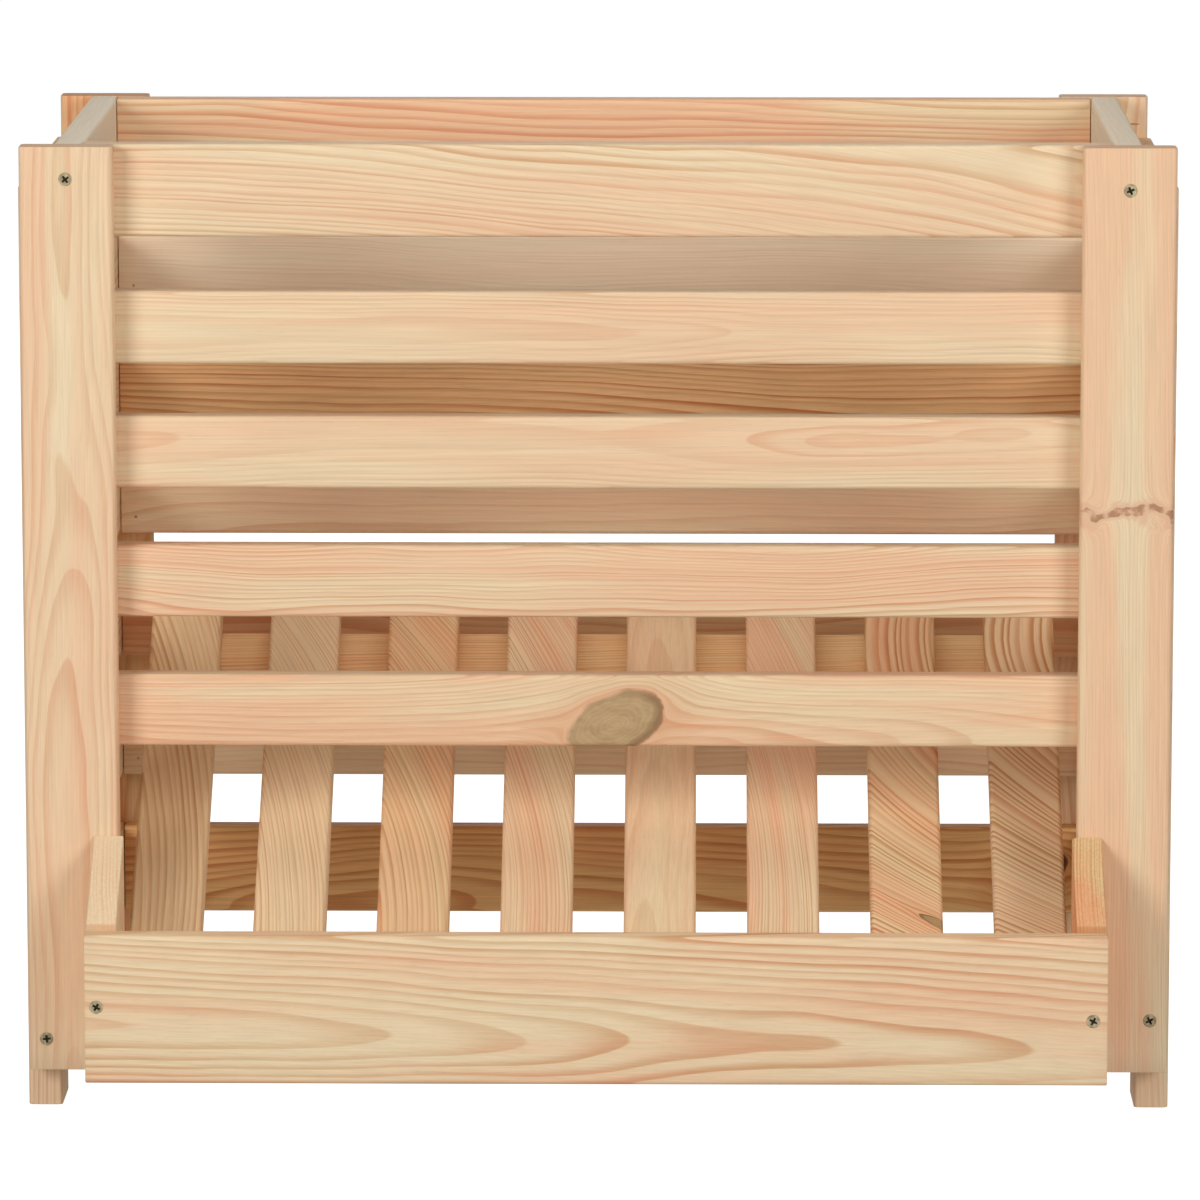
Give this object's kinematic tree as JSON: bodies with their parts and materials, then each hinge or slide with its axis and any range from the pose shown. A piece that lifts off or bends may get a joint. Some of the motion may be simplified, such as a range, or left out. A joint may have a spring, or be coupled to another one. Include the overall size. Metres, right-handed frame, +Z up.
{
  "type": "hay rack feeder",
  "caption": "Slatted pine hay rack feeder for small livestock, with an open top, a sloping slatted rack inside and a feeding trough along the front.",
  "frame": {"origin": "on the ground, at the middle of the feeder's overall width and depth", "axes": "+X to the right across the width, +Y from the trough towards the back panel, +Z up"},
  "size_m": [0.694, 0.414, 0.588],
  "materials": {
    "pine": "planed, untreated pine with visible growth rings and knots",
    "zinc_screw": "yellow zinc plated, slightly dulled",
    "brad": "plain bright steel wire"
  },
  "bodies": {
    "root": {"back_bottom_rail": "pine", "back_panel_brads": "brad", "back_panel_screws": "zinc_screw", "back_slat_1": "pine", "back_slat_2": "pine", "back_slat_3": "pine", "back_slat_4": "pine", "back_slat_5": "pine", "back_stile_left": "pine", "back_stile_right": "pine", "back_top_rail": "pine", "front_panel_brads": "brad", "front_panel_screws": "zinc_screw", "front_slat_1": "pine", "front_slat_2": "pine", "front_slat_3": "pine", "front_slat_4": "pine", "front_stile_left": "pine", "front_stile_right": "pine", "front_support_rail": "pine", "front_top_rail": "pine", "left_back_leg": "pine", "left_front_leg": "pine", "left_side_bottom_rail": "pine", "left_side_brads": "brad", "left_side_slat_1": "pine", "left_side_slat_2": "pine", "left_side_slat_3": "pine", "left_side_slat_4": "pine", "left_side_slat_5": "pine", "left_side_top_rail": "pine", "rack_batten_lower": "pine", "rack_batten_upper": "pine", "rack_brads": "brad", "rack_slat_1": "pine", "rack_slat_2": "pine", "rack_slat_3": "pine", "rack_slat_4": "pine", "rack_slat_5": "pine", "rack_slat_6": "pine", "rack_slat_7": "pine", "rack_slat_8": "pine", "right_back_leg": "pine", "right_front_leg": "pine", "right_side_bottom_rail": "pine", "right_side_brads": "brad", "right_side_slat_1": "pine", "right_side_slat_2": "pine", "right_side_slat_3": "pine", "right_side_slat_4": "pine", "right_side_slat_5": "pine", "right_side_top_rail": "pine", "trough_front_board": "pine", "trough_front_screws": "zinc_screw", "trough_side_left": "pine", "trough_side_right": "pine", "trough_side_screws": "zinc_screw"}
  },
  "joints": []
}
